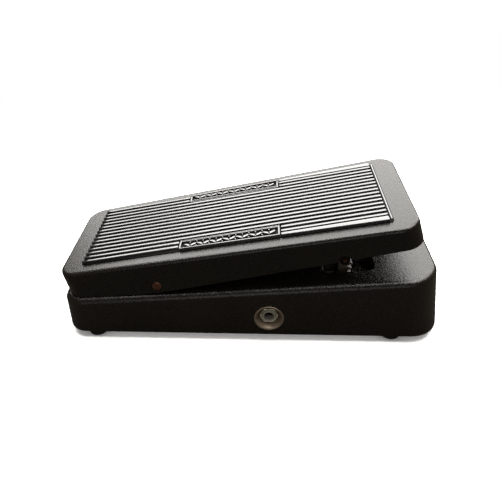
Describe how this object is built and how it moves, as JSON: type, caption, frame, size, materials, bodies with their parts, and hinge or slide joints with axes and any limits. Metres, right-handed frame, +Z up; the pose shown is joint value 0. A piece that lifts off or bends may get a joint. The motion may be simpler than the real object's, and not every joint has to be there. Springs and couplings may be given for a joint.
{
  "type": "rocker effects pedal",
  "caption": "Foot-operated guitar effects pedal: a wedge-shaped cast base carries a hinged treadle with a ribbed mat that turns a potentiometer through a rack and pinion.",
  "frame": {"origin": "on the floor, under the middle of the pedal's length, width centred", "axes": "+X from the heel end to the toe end, +Y across the pedal away from the input jack, +Z up"},
  "size_m": [0.253, 0.1012, 0.0896],
  "materials": {
    "housing_black": "black wrinkle paint on die-cast metal",
    "treadle_black": "black satin paint on die-cast metal, light speckle",
    "mat_rubber": "ribbed rubber, ribs polished by use",
    "rubber": "matte black moulded rubber",
    "plate_steel": "plain zinc-plated sheet",
    "screw_steel": "zinc plated",
    "nickel": "bright nickel plate",
    "dull_nickel": "dull nickel plate",
    "copper_pin": "copper-coloured plated rod",
    "nylon": "natural nylon",
    "black_plastic": "moulded, satin",
    "board": "glass-epoxy board with green mask",
    "red_film": "dipped, glossy",
    "blue_can": "sleeved can",
    "battery_case": "printed metal jacket, plain",
    "felt": "closed-cell foam strip",
    "wire_pvc": "PVC sleeve over a bundle of leads"
  },
  "bodies": {
    "base": {"base_housing": "housing_black", "battery": "battery_case", "battery_foam": "felt", "battery_snap": "black_plastic", "board_screw_far": "screw_steel", "board_screw_near": "screw_steel", "bottom_plate": "plate_steel", "bracket_screw_front": "screw_steel", "bracket_screw_rear": "screw_steel", "capacitor_a": "blue_can", "capacitor_b": "blue_can", "circuit_board": "board", "film_capacitor": "red_film", "foot_front_far": "rubber", "foot_front_near": "rubber", "foot_rear_far": "rubber", "foot_rear_near": "rubber", "foot_screw_front_far": "screw_steel", "foot_screw_front_near": "screw_steel", "foot_screw_rear_far": "screw_steel", "foot_screw_rear_near": "screw_steel", "footswitch_body": "dull_nickel", "footswitch_dress_nut": "nickel", "footswitch_lock_nut": "nickel", "friction_pad": "nylon", "friction_screw": "screw_steel", "friction_spring": "screw_steel", "heel_stop_pad": "rubber", "inductor": "red_film", "input_jack_body": "black_plastic", "input_jack_cup_washer": "dull_nickel", "input_jack_nut": "nickel", "output_jack_body": "black_plastic", "output_jack_cup_washer": "dull_nickel", "output_jack_nut": "nickel", "pivot_bush_far": "nylon", "pivot_bush_near": "nylon", "pot_body": "dull_nickel", "pot_bracket": "plate_steel", "pot_nut": "nickel", "power_jack_body": "black_plastic", "power_jack_nut": "nickel", "rack_guide": "nylon", "transistor_a": "black_plastic", "transistor_b": "black_plastic", "wire_battery": "wire_pvc", "wire_footswitch": "wire_pvc", "wire_input_jack": "wire_pvc", "wire_pot": "wire_pvc"},
    "treadle": {"treadle": "treadle_black", "tread_mat": "mat_rubber", "pivot_rod": "copper_pin", "rack_pin": "copper_pin", "toe_bumper": "rubber"},
    "rack": {"rack": "nylon"},
    "pinion": {"pinion": "nylon", "pot_shaft": "screw_steel"},
    "plunger": {"footswitch_plunger": "nickel"}
  },
  "joints": [
    {"name": "treadle_pivot", "type": "hinge", "parent": "base", "child": "treadle", "pos_m": [-0.06, 0, 0.0422], "axis": [0, 1, 0], "range_deg": [0, 8]},
    {"name": "rack_hinge", "type": "hinge", "parent": "treadle", "child": "rack", "pos_m": [0.0606, 0, 0.0535], "axis": [0, 1, 0], "range_deg": [-3.9, 0.2]},
    {"name": "pinion_spin", "type": "hinge", "parent": "base", "child": "pinion", "pos_m": [0.0732, 0, 0.031], "axis": [0, 1, 0], "range_deg": [-122, 2]},
    {"name": "switch_press", "type": "slide", "parent": "base", "child": "plunger", "axis": [0.0816, 0, -0.9967], "range_m": [0, 0.0025], "stiffness_N_per_m": 800, "springref_m": -0.003}
  ],
  "couplings": [
    {"joint": "rack_hinge", "follows": "treadle_pivot", "ratio": -0.48},
    {"joint": "pinion_spin", "follows": "treadle_pivot", "ratio": -15.165}
  ]
}
